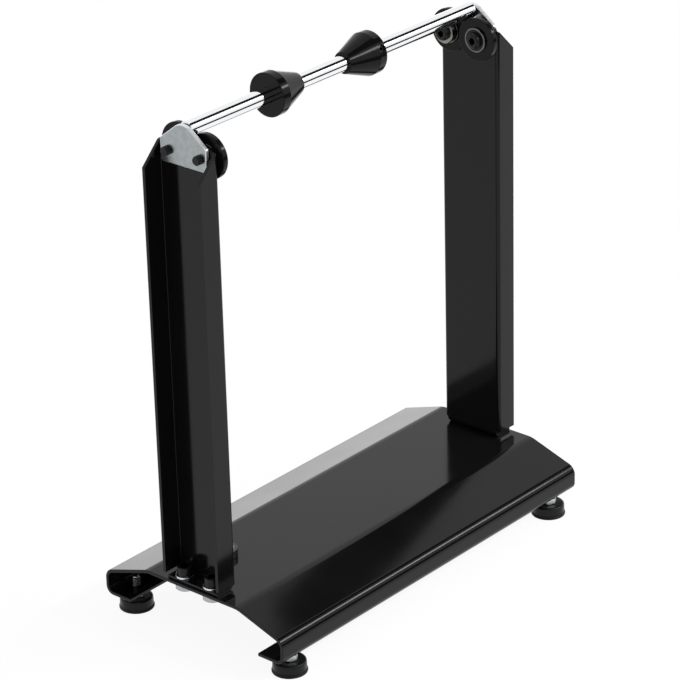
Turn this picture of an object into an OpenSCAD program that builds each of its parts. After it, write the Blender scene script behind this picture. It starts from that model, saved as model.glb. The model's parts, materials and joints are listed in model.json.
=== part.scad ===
// Static balancing stand for motorcycle wheels.
// X runs along the shaft, Z is up, and the floor under the feet is Z = 0.
// The front end is at -X. The origin is at the middle of the footprint.

/* [Base] */
// Length of the folded base, along the shaft
base_l = 400; // [340:5:560]
// Width of the base over its sides
base_w = 202.6; // [170:0.2:300]
// Width of the raised flat middle
plateau_w = 103.6; // [80:0.2:120]
// Rise of the slanted shoulders from the sides to the middle
shoulder_rise = 16.3; // [8:0.1:30]
// Height of the two upright sides
side_h = 22.5; // [16:0.5:40]
// Width of the flanges that turn in under the sides
return_w = 28; // [22:0.5:34]
// Thickness of the folded sheet, base and uprights
sheet_t = 3; // [2:0.25:4]
// Middle radius of the wide bends beside the raised flat middle
ridge_bend = 20; // [6:0.5:24]
// Middle radius of the bends above the sides
shoulder_bend = 8; // [3:0.25:9]
// Middle radius of the bends below the sides
flange_bend = 6; // [3:0.25:7]

/* [Uprights] */
// Width of an upright across its web
upright_w = 63; // [58:0.5:80]
// Depth of an upright, from its web to its open edges
upright_d = 22; // [20:0.5:30]
// Middle radius of the bends between web and flanges
upright_bend = 2; // [1.6:0.1:4]
// Middle radius of the bend between web and foot tab
tab_bend = 3.5; // [2.2:0.1:4]
// Setback of the foot tab's sides from the ends of the web's flat
tab_trim = 0; // [0:0.25:3]
// Distance from the tab's free edge to the end of the base
tab_setback = 2; // [0:0.5:3]
// Gap between the flange ends and the tab's upper face
flange_lift = 2.7; // [1:0.1:6]
// Height of the flange tops at the web, above the roller axles
flange_top = 5.5; // [0:0.5:8]
// Fall of the flange tops from the web to the open edges
flange_fall = 19; // [5:0.5:30]
// Gap between the shaft and the top edge of the web
web_gap = 2.7; // [1:0.1:6]

/* [Heads] */
// Height of the roller axles above the floor
axle_z = 441.5; // [300:0.5:600]
// Distance between the two axles of a pair
axle_span = 34.6; // [30:0.1:38]
// Thickness of a head plate
plate_t = 4; // [3:0.25:6]
// Width of a head plate
plate_w = 50; // [48:0.5:56]
// Plate below the axles
plate_below = 10.5; // [8:0.5:16]
// Straight side of the plate above the axles
plate_side = 9.5; // [6:0.5:12]
// Top of the slanted edges above the axles, before rounding
plate_peak = 28.9; // [26:0.1:34]
// Radius of the plate's top
plate_peak_r = 13; // [6:0.5:16]
// Radius of the plate's other corners
plate_corner_r = 2.5; // [1:0.25:4]

/* [Rollers] */
// Diameter of a roller
roller_d = 39; // [38:0.5:44]
// Thickness of a roller
roller_t = 5; // [3:0.25:6]
// Chamfer on the rim of a roller
roller_chamfer = 0.6; // [0.2:0.1:1]
// Outer diameter of a bearing
bearing_d = 22; // [21:0.5:24]
// Width of a bearing
bearing_w = 7; // [6.5:0.25:9]
// Diameter of the circle through the ball centres
ball_circle_d = 15; // [14.6:0.1:15.4]
// Diameter of a ball
ball_d = 3.9; // [3:0.1:4]
// Number of balls
ball_n = 7; // [5:1:8]
// Diameter of the inner race's shoulder
inner_race_d = 12; // [11.4:0.1:12.4]
// Inner diameter of the outer race's shoulder
outer_race_bore_d = 18; // [17.6:0.1:18.4]
// Thickness of a bearing shield
shield_t = 0.4; // [0.2:0.05:0.5]
// Distance from a bearing's face to its shield
shield_in = 0.15; // [0.1:0.05:0.3]
// Width of the ball cage
cage_w = 5; // [4.6:0.1:5.2]
// Thickness of the ball cage
cage_t = 1.2; // [0.8:0.1:1.4]
// Length of the steel spacer beside a bearing
spacer_l = 5; // [4:0.25:8]
// Diameter of the steel spacer
spacer_d = 20; // [14:0.5:22]
// Thickness of a shim washer
shim_t = 1; // [0.5:0.1:2]
// Diameter of a shim washer
shim_d = 12; // [10:0.5:12.5]

/* [Shaft] */
// Diameter of the shaft
shaft_d = 14; // [10:0.5:15]
// Free play between each shaft end and its head plate
shaft_float = 1; // [0.5:0.25:3]
// Chamfer on the shaft ends
shaft_chamfer = 1; // [0.5:0.25:2]

/* [Cones] */
// Large diameter of a cone
cone_d = 38; // [34:0.5:44]
// Diameter of a cone's small end
cone_tip_d = 18.8; // [17.5:0.1:24]
// Length of a cone
cone_l = 35.6; // [28:0.2:50]
// Width of the cylindrical band at a cone's large end
cone_band = 8.3; // [7.5:0.1:12]
// Chamfer on a cone's large face and tip
cone_chamfer = 0.5; // [0.2:0.1:0.8]
// Place of the front cone's large face along the shaft
front_cone_x = -84.3; // [-120:0.1:-60]
// Place of the rear cone's large face along the shaft
rear_cone_x = 45.5; // [40:0.1:100]
// Diameter of a grub screw
grub_d = 6; // [4:0.5:6.5]
// Depth of the grub screw's head below the band
grub_sink = 2; // [0.5:0.25:3]
// Angle of the grub screw above the horizontal
grub_angle = 24; // [0:1:60]

/* [Feet] */
// Distance from a foot's centre to the end of the base
foot_in_x = 22.5; // [18:0.5:40]
// Distance from a foot's centre to the side of the base
foot_in_y = 13.3; // [10.5:0.1:14]
// Diameter of a foot pad's body
pad_d = 29.4; // [24:0.2:34]
// Diameter of the lip round the pad's bottom
pad_lip_d = 30.8; // [24:0.2:36]
// Height of the lip
pad_lip_h = 1.6; // [1:0.1:3]
// Height of a foot pad
pad_h = 11; // [9:0.5:16]
// Chamfer round the top of a pad
pad_chamfer = 2; // [1:0.25:3]
// Thickness of the pad under the stud
pad_floor = 3; // [2:0.25:4]
// Diameter of the threaded studs and screws
thread_d = 8; // [6:0.5:8]
// Width of the stud's hexagon and of the nuts, across flats
hex_w = 13; // [12.5:0.5:15]
// Height of the stud's hexagon
hex_h = 5.75; // [4:0.25:8]
// Gap between the hexagon and the base above it
foot_lift = 1.25; // [0.5:0.1:6]
// Length of stud above the base's flange
stud_over = 9.8; // [5.2:0.1:11]

/* [Fasteners] */
// Diameter of a socket screw's head
cap_d = 13; // [12:0.5:14]
// Height of a socket screw's head
cap_h = 8; // [5:0.5:9]
// Width of the key socket, across flats
key_w = 6; // [4:0.5:6]
// Depth of the key socket
key_deep = 4; // [2:0.5:5]
// Distance between the two screws of a foot tab
tab_screw_span = 31; // [20:0.5:34]
// Distance from the screws to the tab's free edge
tab_screw_in = 7.5; // [7:0.25:9]
// Diameter of a washer
washer_d = 16; // [14:0.5:17]
// Thickness of a washer
washer_t = 1.6; // [1:0.1:2]
// Height of a nut
nut_h = 6.5; // [4:0.25:8]
// Screw thread left showing past a nut or a head plate
thread_over = 1.5; // [0.5:0.25:4]
// Diameter of an axle screw's low head
button_d = 14; // [12.5:0.5:14.5]
// Height of an axle screw's low head
button_h = 4; // [3:0.25:6]
// Diameter of the flat on an axle screw's low head
button_flat_d = 9.6; // [8:0.2:11]
// Width of the key socket in an axle screw, across flats
button_key_w = 5; // [3:0.5:6]
// Depth of the key socket in an axle screw
button_key_deep = 2.4; // [1:0.1:2.8]
// Axle screw thread that stands out of a head plate
axle_over = 4.5; // [1:0.5:8]

/* [Spirit level] */
// Diameter of the level's housing
level_d = 22; // [16:0.5:26]
// Height of the housing
level_h = 7; // [4:0.25:9]
// Wall of the housing
level_wall = 2.4; // [1.5:0.1:4]
// Floor of the housing
level_floor = 1; // [0.5:0.1:2]
// Height of the vial's dome above the housing
level_dome = 0.8; // [0.2:0.1:2]
// Distance from the front upright's web to the level's centre
level_from_web = 39; // [25:0.5:60]
// Distance from the centre line to the level's centre
level_y = 17; // [0:0.5:30]

/* [Fits] */
// Gap between a bearing race and what it is pressed on or into
press_gap = 0.02; // [0.01:0.01:0.04]
// Gap round a thread in its tapped hole
thread_gap = 0.05; // [0.02:0.01:0.09]
// Gap round the shaft in a cone
slide_gap = 0.04; // [0.01:0.01:0.05]
// Gap between the shaft and the rollers under it
roll_gap = 0.1; // [0.05:0.01:0.2]
// Gap between a ball and the races
ball_gap = 0.1; // [0.05:0.01:0.2]
// Gap between pieces that pass each other as they turn
pass_gap = 0.25; // [0.15:0.05:0.4]
// Gap round a screw in a drilled hole
drill_gap = 0.4; // [0.2:0.1:0.8]

/* [Hidden] */
$fn = 96;
// Angle of one step of a bend
bend_step = 5;
// Overlap of solids that are joined into one
join = 1;
// Reach of a cut past the faces that it opens
past = 1;

half_l = base_l / 2;
half_w = base_w / 2;
// Heights of the base, from the feet up
flange_z = pad_h + pass_gap + hex_h + foot_lift;
side_top_z = flange_z + side_h;
plateau_z = side_top_z + shoulder_rise;
shoulder_slope = atan2(shoulder_rise, half_w - plateau_w / 2);
// Faces of the uprights
web_in = half_l - upright_d;
web_out = web_in + sheet_t;
web_mid = web_in + sheet_t / 2;
tab_w = upright_w - sheet_t - 2 * upright_bend - 2 * tab_trim;
tab_end = half_l - tab_setback;
tab_top = plateau_z + sheet_t;
flange_bottom = tab_top + flange_lift;
upright_mid = (upright_w - sheet_t) / 2;
tab_screw_x = tab_end - tab_screw_in;
// Shaft and rollers
shaft_z = axle_z + sqrt(pow((roller_d + shaft_d) / 2 + roll_gap, 2) - pow(axle_span / 2, 2));
shaft_end = web_out - shaft_float;
web_top = shaft_z - shaft_d / 2 - web_gap;
// Stack on an axle, from the screw's head to the web
head_seat = web_in - bearing_w - spacer_l - 2 * shim_t;
outer_start = spacer_l + shim_t;
cage_d = ball_circle_d + cage_t;
shield_rebate = 0.5;
// Feet and level
foot_x = half_l - foot_in_x;
foot_y = half_w - foot_in_y;
level_x = -web_in + level_from_web;

REAR = 0;
FRONT = 180;
INNER = -1;
OUTER = 1;
LEFT = 1;
RIGHT = -1;

function unit(v) = v / norm(v);
function left_of(v) = [-v[1], v[0]];
function backwards(p) = [for (i = [len(p) - 1 : -1 : 0]) p[i]];
function mirrored(p) = [for (q = backwards(p)) [-q[0], q[1]]];

// Round the corner b of the line a, b, c with radius r, moved sideways to the left
function corner(a, b, c, r, side = 0) =
    let (u = unit(b - a))
    let (v = unit(c - b))
    let (turn = atan2(u[0] * v[1] - u[1] * v[0], u * v))
    let (way = sign(turn))
    let (centre = b - u * r * tan(abs(turn) / 2) + left_of(u) * way * r)
    let (steps = max(2, ceil(abs(turn) / bend_step)))
    [for (k = [0 : steps])
        let (spoke = left_of(u) * cos(turn * k / steps) - u * sin(turn * k / steps))
        centre - spoke * (way * r - side)];

// One face of a folded sheet whose middle runs through the points p, with a radius for each bend
function sheet_face(p, r, side) =
    let (last = len(p) - 1)
    concat(
        [p[0] + left_of(unit(p[1] - p[0])) * side],
        [for (i = [1 : last - 1]) each corner(p[i - 1], p[i], p[i + 1], r[i - 1], side)],
        [p[last] + left_of(unit(p[last] - p[last - 1])) * side]);

function sheet_section(p, r) =
    concat(sheet_face(p, r, sheet_t / 2), backwards(sheet_face(p, r, -sheet_t / 2)));

function round_outline(p, r) =
    let (n = len(p))
    [for (i = [0 : n - 1]) each corner(p[(i + n - 1) % n], p[i], p[(i + 1) % n], r[i])];

// Extrude a Y-Z outline along X, or an X-Z outline along Y
module along_x(l) rotate([90, 0, 90]) linear_extrude(l, center = true) children();
module along_y(l) rotate([90, 0, 0]) linear_extrude(l, center = true) children();

module hexagon(w, h) rotate([0, 0, 30]) cylinder(d = w / cos(30), h = h, $fn = 6);

// A disc with both rims chamfered
module chamfered_disc(d, h, c) rotate_extrude() polygon([
    [0, 0], [d / 2 - c, 0], [d / 2, c], [d / 2, h - c], [d / 2 - c, h], [0, h]]);

module ring(d, bore, h, c = 0.2) difference() {
    chamfered_disc(d, h, c);
    translate([0, 0, -past]) cylinder(d = bore, h = h + 2 * past);
}

// Places
module at_tab_screws() for (end = [REAR, FRONT], side = [-1, 1])
    rotate([0, 0, end]) translate([tab_screw_x, side * tab_screw_span / 2, 0]) children();

module on_axle(end, pair) rotate([0, 0, end])
    translate([head_seat, pair * axle_span / 2, axle_z]) rotate([0, 90, 0]) children();

module at_bearing(end, pair) on_axle(end, pair)
    translate([0, 0, pair == OUTER ? outer_start : 0]) children();

module at_foot(x_side, y_side) translate([x_side * foot_x, y_side * foot_y, 0]) children();

// Base
module base_section() {
    y_side = half_w - sheet_t / 2;
    drop = sheet_t / 2 / cos(shoulder_slope);
    z_side = side_top_z + tan(shoulder_slope) * sheet_t / 2 - drop;
    z_top = plateau_z - sheet_t / 2;
    y_top = plateau_w / 2 - tan(shoulder_slope / 2) * sheet_t / 2;
    z_flange = flange_z + sheet_t / 2;
    right = [[half_w - return_w, z_flange], [y_side, z_flange], [y_side, z_side], [y_top, z_top]];
    bends = [flange_bend, shoulder_bend, ridge_bend];
    polygon(sheet_section(concat(right, mirrored(right)), concat(bends, backwards(bends))));
}

module base_plate() color([0.03, 0.03, 0.035]) difference() {
    along_x(base_l) base_section();
    at_tab_screws() translate([0, 0, plateau_z - sheet_t - past])
        cylinder(d = thread_d + 2 * drill_gap, h = sheet_t + 2 * past);
    for (x_side = [-1, 1], y_side = [-1, 1]) at_foot(x_side, y_side)
        translate([0, 0, flange_z - past]) cylinder(d = thread_d + 2 * thread_gap, h = sheet_t + 2 * past);
}

// Uprights
module upright_channel() {
    plan = [[half_l, -upright_mid], [web_mid, -upright_mid], [web_mid, upright_mid], [half_l, upright_mid]];
    translate([0, 0, flange_bottom]) linear_extrude(web_top - flange_bottom)
        polygon(sheet_section(plan, [upright_bend, upright_bend]));
}

module foot_tab() {
    z_mid = plateau_z + sheet_t / 2;
    strip = [[tab_end, z_mid], [web_mid, z_mid], [web_mid, flange_bottom + join]];
    along_y(tab_w) polygon(sheet_section(strip, [tab_bend]));
}

// Everything that is cut away above the flanges' slanted tops and the web's corners
module upright_top_cut() {
    z_web = axle_z + flange_top;
    z_high = web_top + past;
    along_y(upright_w + 2 * past) polygon([
        [web_out, z_web], [half_l, z_web - flange_fall], [half_l + past, z_web - flange_fall],
        [half_l + past, z_high], [web_out, z_high]]);
    for (side = [-1, 1]) translate([web_mid, 0, 0]) along_x(sheet_t + 2 * past) polygon([
        [side * (plate_w / 2 - plate_corner_r), z_high], [side * (plate_w / 2 - plate_corner_r), web_top],
        [side * (upright_w / 2 + past), z_web], [side * (upright_w / 2 + past), z_high]]);
}

module upright(end) color([0.03, 0.03, 0.035]) difference() {
    rotate([0, 0, end]) difference() {
        union() {
            upright_channel();
            foot_tab();
        }
        upright_top_cut();
    }
    for (pair = [INNER, OUTER]) on_axle(end, pair)
        translate([0, 0, web_in - head_seat - past])
        cylinder(d = thread_d + 2 * drill_gap, h = sheet_t + 2 * past);
    at_tab_screws() translate([0, 0, plateau_z - past])
        cylinder(d = thread_d + 2 * drill_gap, h = sheet_t + 2 * past);
}

// Head plates
module head_plate(end) color([0.72, 0.74, 0.76]) difference() {
    rotate([0, 0, end]) translate([web_out + plate_t / 2, 0, 0]) along_x(plate_t) polygon(round_outline(
        [[plate_w / 2, axle_z - plate_below], [plate_w / 2, axle_z + plate_side], [0, axle_z + plate_peak],
            [-plate_w / 2, axle_z + plate_side], [-plate_w / 2, axle_z - plate_below]],
        [plate_corner_r, plate_corner_r, plate_peak_r, plate_corner_r, plate_corner_r]));
    for (pair = [INNER, OUTER]) on_axle(end, pair)
        translate([0, 0, web_out - head_seat - past])
        cylinder(d = thread_d + 2 * thread_gap, h = plate_t + 2 * past);
}

// Screws, washers and nuts that hold the uprights on the base
module upright_screws() color([0.05, 0.05, 0.05]) at_tab_screws() translate([0, 0, tab_top + washer_t]) {
    grip = washer_t + 2 * sheet_t + nut_h + thread_over;
    difference() {
        chamfered_disc(cap_d, cap_h, 0.5);
        translate([0, 0, cap_h - key_deep]) hexagon(key_w, key_deep + past);
    }
    translate([0, 0, -grip]) cylinder(d = thread_d, h = grip + join);
}

module upright_washers() color([0.75, 0.76, 0.78]) at_tab_screws() translate([0, 0, tab_top])
    ring(washer_d, thread_d + 2 * drill_gap, washer_t);

module upright_nuts() color([0.75, 0.76, 0.78]) at_tab_screws()
    translate([0, 0, plateau_z - sheet_t - nut_h]) difference() {
        intersection() {
            hexagon(hex_w, nut_h);
            chamfered_disc(hex_w / cos(30), nut_h, 0.6);
        }
        translate([0, 0, -past]) cylinder(d = thread_d + 2 * thread_gap, h = nut_h + 2 * past);
    }

// Rollers
module roller(end, pair) color([0.06, 0.06, 0.065]) at_bearing(end, pair)
    translate([0, 0, bearing_w - roller_t]) ring(roller_d, bearing_d + 2 * press_gap, roller_t, roller_chamfer);

// Ball bearings
module raceway() rotate_extrude() translate([ball_circle_d / 2, bearing_w / 2]) circle(d = ball_d + 2 * ball_gap);

module outer_race(end, pair) color([0.7, 0.71, 0.73]) at_bearing(end, pair) difference() {
    ring(bearing_d, outer_race_bore_d, bearing_w);
    raceway();
    for (z = [-past, bearing_w - shield_in - shield_t - press_gap]) translate([0, 0, z])
        cylinder(d = outer_race_bore_d + 2 * shield_rebate + 2 * press_gap,
            h = shield_in + shield_t + press_gap + past);
}

module inner_race(end, pair) color([0.7, 0.71, 0.73]) at_bearing(end, pair) difference() {
    ring(inner_race_d, thread_d + 2 * press_gap, bearing_w);
    raceway();
}

module at_balls() for (i = [0 : ball_n - 1])
    rotate([0, 0, i * 360 / ball_n]) translate([ball_circle_d / 2, 0, bearing_w / 2]) children();

module balls(end, pair) color([0.8, 0.81, 0.83]) at_bearing(end, pair) at_balls() sphere(d = ball_d);

module ball_cage(end, pair) color([0.6, 0.5, 0.3]) at_bearing(end, pair) difference() {
    translate([0, 0, (bearing_w - cage_w) / 2]) ring(cage_d, cage_d - 2 * cage_t, cage_w, 0.1);
    at_balls() rotate([0, 90, 0]) cylinder(d = ball_d + 2 * ball_gap, h = 2 * cage_t + 2 * past, center = true);
}

module shields(end, pair) color([0.09, 0.09, 0.095]) at_bearing(end, pair)
    for (z = [shield_in, bearing_w - shield_in - shield_t]) translate([0, 0, z])
        ring(outer_race_bore_d + 2 * shield_rebate, inner_race_d + 2 * pass_gap, shield_t, 0.05);

// Axles
module axle_screw(end, pair) color([0.05, 0.05, 0.05]) on_axle(end, pair) {
    shank = web_out + plate_t + axle_over - head_seat;
    bulge = (button_d - button_flat_d) / 2;
    rim = button_h - bulge;
    difference() {
        rotate_extrude() polygon(concat(
            [[0, 0], [0, -button_h]],
            [for (a = [0 : 15 : 90]) [button_flat_d / 2 + bulge * sin(a), -rim - bulge * cos(a)]],
            [[button_d / 2, 0]]));
        translate([0, 0, -button_h - past]) hexagon(button_key_w, button_key_deep + past);
    }
    translate([0, 0, -join]) cylinder(d = thread_d, h = shank + join - 1);
    translate([0, 0, shank - 1]) cylinder(d1 = thread_d, d2 = thread_d - 2, h = 1);
}

module spacer(end, pair) color([0.75, 0.76, 0.78]) on_axle(end, pair)
    translate([0, 0, pair == OUTER ? 0 : bearing_w + shim_t])
    ring(spacer_d, thread_d + 2 * drill_gap, spacer_l, 0.4);

module axle_shims() color([0.75, 0.76, 0.78]) for (end = [REAR, FRONT], pair = [INNER, OUTER])
    on_axle(end, pair) for (z = [pair == OUTER ? spacer_l : bearing_w, web_in - head_seat - shim_t])
        translate([0, 0, z]) ring(shim_d, thread_d + 2 * drill_gap, shim_t, 0.1);

// Shaft and cones
module shaft() color([0.85, 0.86, 0.88]) translate([-shaft_end, 0, shaft_z]) rotate([0, 90, 0])
    chamfered_disc(shaft_d, 2 * shaft_end, shaft_chamfer);

// Put the middle of a cone's large face at the origin, with its tip on +Z and its grub screw on +X
module at_cone(face_x, end) translate([face_x, 0, shaft_z])
    rotate([0, 0, end]) rotate([-grub_angle, 0, 0]) rotate([90, 0, -90]) children();

module cone(face_x, end) color([0.05, 0.05, 0.055]) at_cone(face_x, end) difference() {
    rotate_extrude() polygon([
        [shaft_d / 2 + slide_gap, 0], [cone_d / 2 - cone_chamfer, 0], [cone_d / 2, cone_chamfer],
        [cone_d / 2, cone_band], [cone_tip_d / 2, cone_l], [shaft_d / 2 + slide_gap, cone_l]]);
    translate([0, 0, cone_band / 2]) rotate([0, 90, 0]) cylinder(d = grub_d + 2 * thread_gap, h = cone_d);
}

module grub_screw(face_x, end) color([0.12, 0.12, 0.12]) at_cone(face_x, end) {
    tip = shaft_d / 2 + roll_gap;
    l = cone_d / 2 - grub_sink - tip;
    translate([tip, 0, cone_band / 2]) rotate([0, 90, 0]) difference() {
        chamfered_disc(grub_d, l, 0.3);
        translate([0, 0, l - grub_d / 2]) hexagon(grub_d / 2, grub_d / 2 + past);
    }
}

// Feet
module foot_pad(x_side, y_side) color([0.07, 0.07, 0.07]) at_foot(x_side, y_side) difference() {
    rotate_extrude() polygon([
        [0, 0], [pad_lip_d / 2 - 0.5, 0], [pad_lip_d / 2, 0.5], [pad_lip_d / 2, pad_lip_h],
        [pad_d / 2, pad_lip_h + 0.8], [pad_d / 2 - 0.3, pad_h - pad_chamfer],
        [pad_d / 2 - pad_chamfer, pad_h], [0, pad_h]]);
    translate([0, 0, pad_floor]) cylinder(d = thread_d + 2 * thread_gap, h = pad_h);
}

module foot_stud(x_side, y_side) color([0.75, 0.76, 0.78]) at_foot(x_side, y_side) {
    foot_of_stud = pad_floor + pass_gap;
    top = flange_z + sheet_t + stud_over;
    round_end = thread_d / 4;
    rotate_extrude() polygon([
        [0, foot_of_stud], [thread_d / 2, foot_of_stud], [thread_d / 2, top - round_end],
        [thread_d / 2 * 0.87, top - round_end / 2], [thread_d / 2 * 0.5, top], [0, top]]);
    translate([0, 0, pad_h + pass_gap]) intersection() {
        hexagon(hex_w, hex_h);
        chamfered_disc(hex_w / cos(30), hex_h, 0.6);
    }
}

// Spirit level
module level_housing() color([0.08, 0.08, 0.08]) translate([level_x, level_y, plateau_z]) difference() {
    chamfered_disc(level_d, level_h, 0.5);
    translate([0, 0, level_floor]) cylinder(d = level_d - 2 * level_wall, h = level_h);
}

module level_vial() color([0.6, 0.68, 0.6, 0.6]) translate([level_x, level_y, plateau_z + level_floor]) {
    r = level_d / 2 - level_wall - thread_gap;
    h = level_h - level_floor;
    rotate_extrude() polygon(concat([[0, 0], [r, 0], [r, h]],
        [for (a = [75 : -15 : 0]) [r * sin(a), h + level_dome * cos(a)]]));
}

base_plate();
upright(REAR);  // rear_upright
upright(FRONT);  // front_upright
head_plate(REAR);  // rear_head_plate
head_plate(FRONT);  // front_head_plate
upright_screws();
upright_washers();
upright_nuts();
roller(REAR, INNER);  // rear_inner_roller
roller(REAR, OUTER);  // rear_outer_roller
roller(FRONT, INNER);  // front_inner_roller
roller(FRONT, OUTER);  // front_outer_roller
outer_race(REAR, INNER);  // rear_inner_outer_race
outer_race(REAR, OUTER);  // rear_outer_outer_race
outer_race(FRONT, INNER);  // front_inner_outer_race
outer_race(FRONT, OUTER);  // front_outer_outer_race
inner_race(REAR, INNER);  // rear_inner_inner_race
inner_race(REAR, OUTER);  // rear_outer_inner_race
inner_race(FRONT, INNER);  // front_inner_inner_race
inner_race(FRONT, OUTER);  // front_outer_inner_race
balls(REAR, INNER);  // rear_inner_balls
balls(REAR, OUTER);  // rear_outer_balls
balls(FRONT, INNER);  // front_inner_balls
balls(FRONT, OUTER);  // front_outer_balls
ball_cage(REAR, INNER);  // rear_inner_ball_cage
ball_cage(REAR, OUTER);  // rear_outer_ball_cage
ball_cage(FRONT, INNER);  // front_inner_ball_cage
ball_cage(FRONT, OUTER);  // front_outer_ball_cage
shields(REAR, INNER);  // rear_inner_shields
shields(REAR, OUTER);  // rear_outer_shields
shields(FRONT, INNER);  // front_inner_shields
shields(FRONT, OUTER);  // front_outer_shields
axle_screw(REAR, INNER);  // rear_inner_axle_screw
axle_screw(REAR, OUTER);  // rear_outer_axle_screw
axle_screw(FRONT, INNER);  // front_inner_axle_screw
axle_screw(FRONT, OUTER);  // front_outer_axle_screw
spacer(REAR, INNER);  // rear_inner_spacer
spacer(REAR, OUTER);  // rear_outer_spacer
spacer(FRONT, INNER);  // front_inner_spacer
spacer(FRONT, OUTER);  // front_outer_spacer
axle_shims();
shaft();
cone(rear_cone_x, REAR);  // rear_cone
cone(front_cone_x, FRONT);  // front_cone
grub_screw(rear_cone_x, REAR);  // rear_grub_screw
grub_screw(front_cone_x, FRONT);  // front_grub_screw
foot_pad(1, LEFT);  // rear_left_foot_pad
foot_pad(1, RIGHT);  // rear_right_foot_pad
foot_pad(-1, LEFT);  // front_left_foot_pad
foot_pad(-1, RIGHT);  // front_right_foot_pad
foot_stud(1, LEFT);  // rear_left_foot_stud
foot_stud(1, RIGHT);  // rear_right_foot_stud
foot_stud(-1, LEFT);  // front_left_foot_stud
foot_stud(-1, RIGHT);  // front_right_foot_stud
level_housing();
level_vial();
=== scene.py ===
"""Dressed model of a wheel balancing stand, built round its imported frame.

Lengths are metres in the frame's own axes: X runs along the shaft with the
front end at -X, Z is up, and the feet stand on Z = 0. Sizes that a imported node
already has are read from that node's box.
"""

import json
import logging
import math
from dataclasses import dataclass, replace
from enum import Enum
from typing import Callable, Iterable, Iterator, Protocol, Sequence

import bmesh
import bpy
from mathutils import Matrix, Vector


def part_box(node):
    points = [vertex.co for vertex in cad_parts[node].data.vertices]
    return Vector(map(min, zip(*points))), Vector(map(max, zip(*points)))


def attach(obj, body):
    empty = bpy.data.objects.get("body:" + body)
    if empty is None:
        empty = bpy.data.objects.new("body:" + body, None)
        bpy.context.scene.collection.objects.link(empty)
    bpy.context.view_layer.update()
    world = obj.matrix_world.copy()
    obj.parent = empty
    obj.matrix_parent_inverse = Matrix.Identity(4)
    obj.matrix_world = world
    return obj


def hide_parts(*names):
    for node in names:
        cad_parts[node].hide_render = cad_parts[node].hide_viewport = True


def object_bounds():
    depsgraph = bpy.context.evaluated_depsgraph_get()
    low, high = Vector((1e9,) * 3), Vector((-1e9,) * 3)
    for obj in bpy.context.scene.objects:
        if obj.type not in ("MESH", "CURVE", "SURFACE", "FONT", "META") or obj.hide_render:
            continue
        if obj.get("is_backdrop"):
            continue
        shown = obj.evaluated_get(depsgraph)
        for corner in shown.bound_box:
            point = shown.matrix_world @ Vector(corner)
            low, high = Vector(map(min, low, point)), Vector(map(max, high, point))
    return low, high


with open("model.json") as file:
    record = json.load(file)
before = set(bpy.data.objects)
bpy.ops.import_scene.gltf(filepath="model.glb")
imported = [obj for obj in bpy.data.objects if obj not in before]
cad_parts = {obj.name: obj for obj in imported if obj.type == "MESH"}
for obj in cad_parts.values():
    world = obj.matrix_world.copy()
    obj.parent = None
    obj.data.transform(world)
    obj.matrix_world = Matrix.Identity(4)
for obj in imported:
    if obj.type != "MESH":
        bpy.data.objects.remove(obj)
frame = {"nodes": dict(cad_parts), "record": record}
CAD_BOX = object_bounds()

LOG = logging.getLogger("balancing_stand")
MM = 0.001
QUARTER = math.pi / 2

# Steps of a full turn, for pieces that show much, and for small ones
SEGMENTS = 96
FEW_SEGMENTS = 48

# Doubled vertices lie nearer to each other than this
WELD = 1e-6

# Angle in degrees past which an edge stays crisp, on sheets, on turned pieces and on fasteners
CREASE = 50.0
TURNED_CREASE = 40.0
FASTENER_CREASE = 35.0

KNURL_DEPTH = 0.22 * MM

# Colours with their alpha, and the Mix node's sockets for colours
WHITE = (1.0, 1.0, 1.0, 1.0)
MIX_FIRST, MIX_SECOND, MIX_RESULT = 6, 7, 2


class End(Enum):
    """An end of the stand, with the sign of its X."""

    REAR = 1
    FRONT = -1

    @property
    def word(self) -> str:
        """Start of the end's node names."""
        return self.name.lower()

    @property
    def turn(self) -> Matrix:
        """Turn that carries the rear end's pieces to this end."""
        return Matrix.Rotation(0 if self is End.REAR else math.pi, 4, "Z")


class Pair(Enum):
    """A roller of a pair: the inner one is further from the end."""

    INNER = "inner"
    OUTER = "outer"


class Side(Enum):
    """A side of the stand, with the sign of its Y."""

    LEFT = 1
    RIGHT = -1

    @property
    def word(self) -> str:
        """Middle of the foot names."""
        return self.name.lower()


class Form(Enum):
    """Shape of one ring of a lofted piece."""

    ROUND = 0
    HEXAGON = 1
    KNURL = 2


@dataclass(frozen=True)
class Extent:
    """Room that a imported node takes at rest."""

    low: Vector
    high: Vector

    @classmethod
    def of(cls, node: str) -> "Extent":
        """Read the box of a node."""
        return cls(*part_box(node))

    @property
    def centre(self) -> Vector:
        """Middle of the box."""
        return (self.low + self.high) / 2

    @property
    def size(self) -> Vector:
        """Lengths of the box's sides."""
        return self.high - self.low


@dataclass(frozen=True)
class Ring:
    """One ring of a lofted piece.

    Attributes:
        radius: Radius of a circle, or half the width across a hexagon's flats.
        height: Place along the piece's axis.
        form: Outline of the ring.
        slope: Rise of a hexagon's corners for each unit that they reach past its flats.
    """

    radius: float
    height: float
    form: Form = Form.ROUND
    slope: float = 0.0

    def point(self, index: int, count: int) -> Vector:
        """Place one of the ring's points.

        Args:
            index: Number of the point.
            count: Number of points in the ring.

        Returns:
            The point, with the piece's axis along Z.
        """
        angle = 2 * math.pi * index / count
        reach = self.radius
        if self.form is Form.HEXAGON:
            off_flat = (angle + math.pi / 6) % (math.pi / 3) - math.pi / 6
            reach /= math.cos(off_flat)
        elif self.form is Form.KNURL and index % 2:
            reach -= KNURL_DEPTH
        height = self.height + self.slope * (reach - self.radius)
        return Vector((reach * math.cos(angle), reach * math.sin(angle), height))


def only(kind: type, made: Iterable[object]) -> list:
    """Return the elements of one kind among those that an operator made."""
    return [element for element in made if isinstance(element, kind)]


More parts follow.
